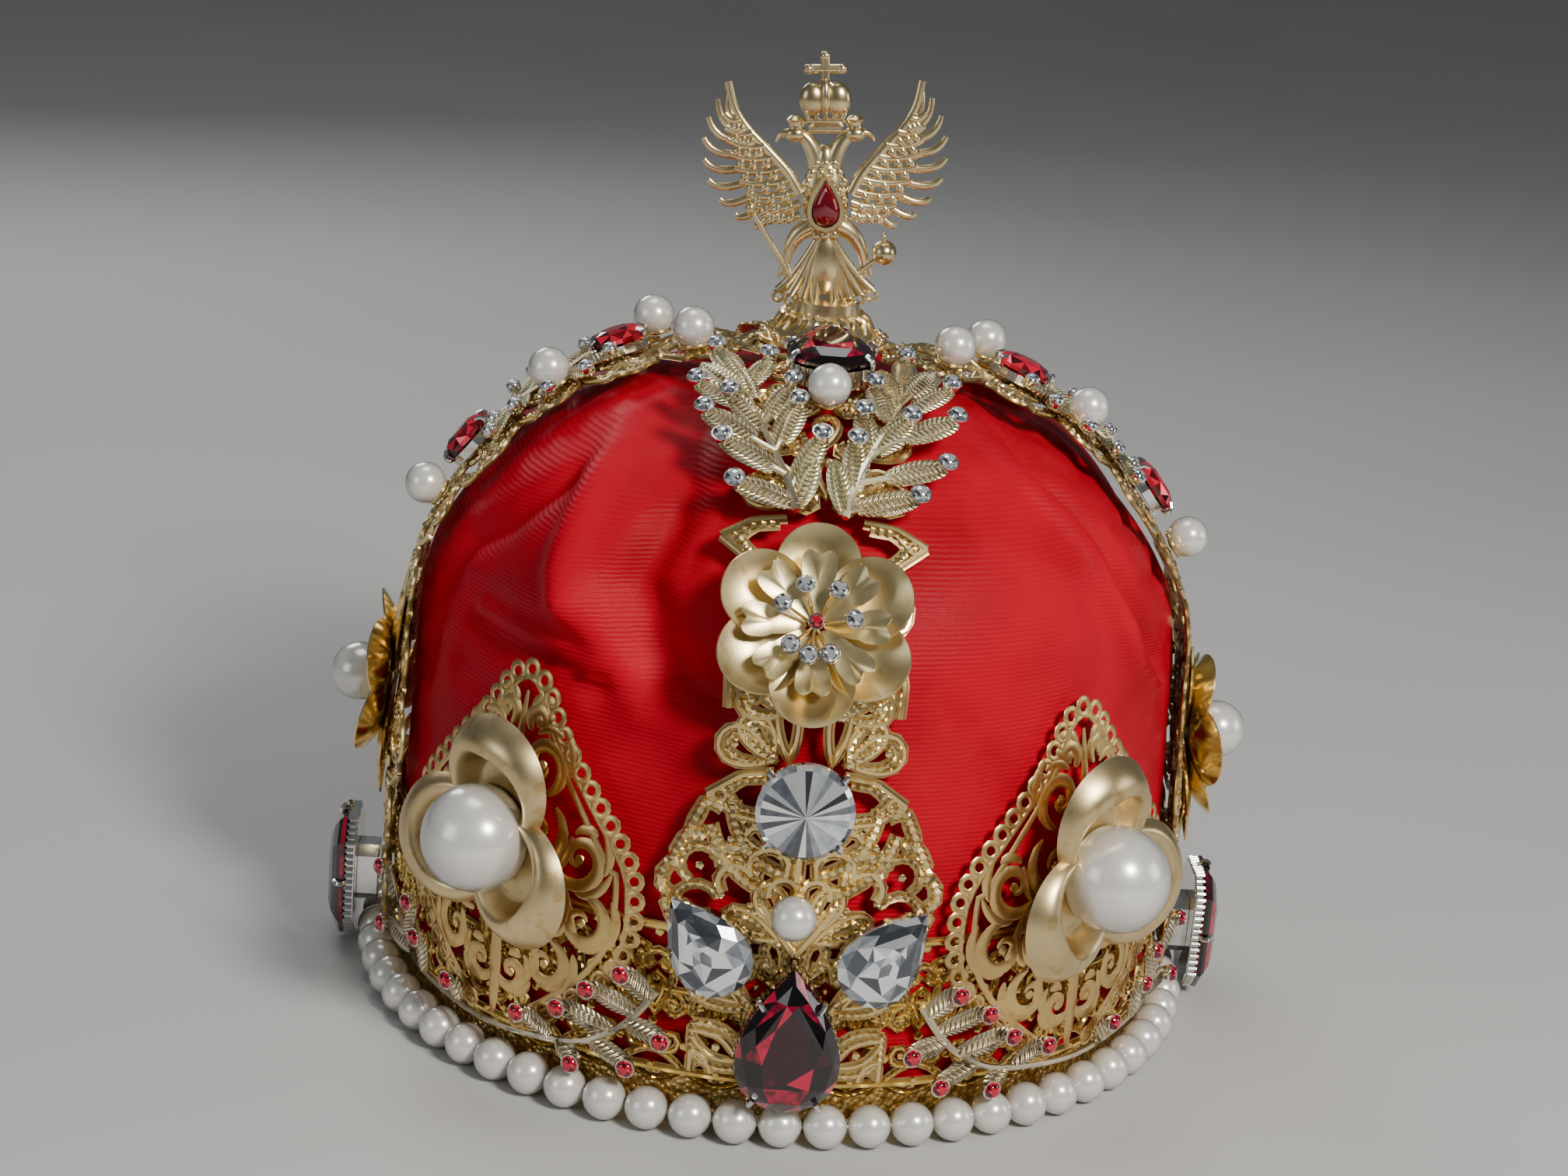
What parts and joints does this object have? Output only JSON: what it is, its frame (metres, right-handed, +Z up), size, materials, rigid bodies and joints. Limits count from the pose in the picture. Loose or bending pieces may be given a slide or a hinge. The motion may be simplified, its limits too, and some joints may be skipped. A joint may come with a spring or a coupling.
{
  "type": "costume crown",
  "caption": "Closed stage crown: pierced gilt band and arches over a red velvet cap, set with imitation pearls and stones, under a two-headed eagle.",
  "frame": {"origin": "middle of the crown's box at the level of the surface that it stands on", "axes": "+Z up, -Y toward the front, which is the arch with the big drop-shaped garnet at its foot, +X toward the wearer's left, which is on the right in a front view"},
  "size_m": [0.228, 0.2134, 0.2297],
  "materials": {
    "champagne_gold": "stamped, bright champagne gold plate",
    "satin_gold": "satin champagne gold plate",
    "bright_silver": "bright silver plate",
    "pearl": "pearl lacquer",
    "garnet": "faceted, dark red",
    "ruby": "faceted, bright red",
    "crystal": "faceted, clear, foil backed",
    "velvet": "crimson stretch velvet"
  },
  "bodies": {
    "root": {"arch_back": "champagne_gold", "arch_front": "champagne_gold", "arch_left": "champagne_gold", "arch_right": "champagne_gold", "base_band": "champagne_gold", "blossom_inner_petals": "satin_gold", "blossom_outer_petals": "satin_gold", "blossom_stamens": "champagne_gold", "cap": "velvet", "eagle_finial": "champagne_gold", "eagle_stone": "ruby", "front_garnet": "garnet", "front_garnet_setting": "bright_silver", "front_pearl_low": "pearl", "front_pearl_top": "pearl", "leaf_spray_left": "champagne_gold", "leaf_spray_right": "champagne_gold", "oval_ruby_left_1": "ruby", "oval_ruby_left_2": "ruby", "oval_ruby_right_1": "ruby", "oval_ruby_right_2": "ruby", "pear_crystal_left": "crystal", "pear_crystal_right": "crystal", "point_plate_back_left": "champagne_gold", "point_plate_back_right": "champagne_gold", "point_plate_front_left": "champagne_gold", "point_plate_front_right": "champagne_gold", "rim_pearls": "pearl", "rim_sprig_left": "champagne_gold", "rim_sprig_right": "champagne_gold", "rose_pearl_back_left": "pearl", "rose_pearl_back_right": "pearl", "rose_pearl_front_left": "pearl", "rose_pearl_front_right": "pearl", "rose_petals_back_left": "satin_gold", "rose_petals_back_right": "satin_gold", "rose_petals_front_left": "satin_gold", "rose_petals_front_right": "satin_gold", "round_crystal": "crystal", "side_flower_left": "champagne_gold", "side_flower_pearl_left": "pearl", "side_flower_pearl_right": "pearl", "side_flower_right": "champagne_gold", "side_garnet_left": "garnet", "side_garnet_left_setting": "bright_silver", "side_garnet_right": "garnet", "side_garnet_right_setting": "bright_silver", "side_pearl_left_1": "pearl", "side_pearl_left_2": "pearl", "side_pearl_left_3": "pearl", "side_pearl_left_4": "pearl", "side_pearl_right_1": "pearl", "side_pearl_right_2": "pearl", "side_pearl_right_3": "pearl", "side_pearl_right_4": "pearl", "side_spray_left": "champagne_gold", "side_spray_right": "champagne_gold", "top_garnet": "garnet", "top_garnet_setting": "bright_silver"}
  },
  "joints": []
}
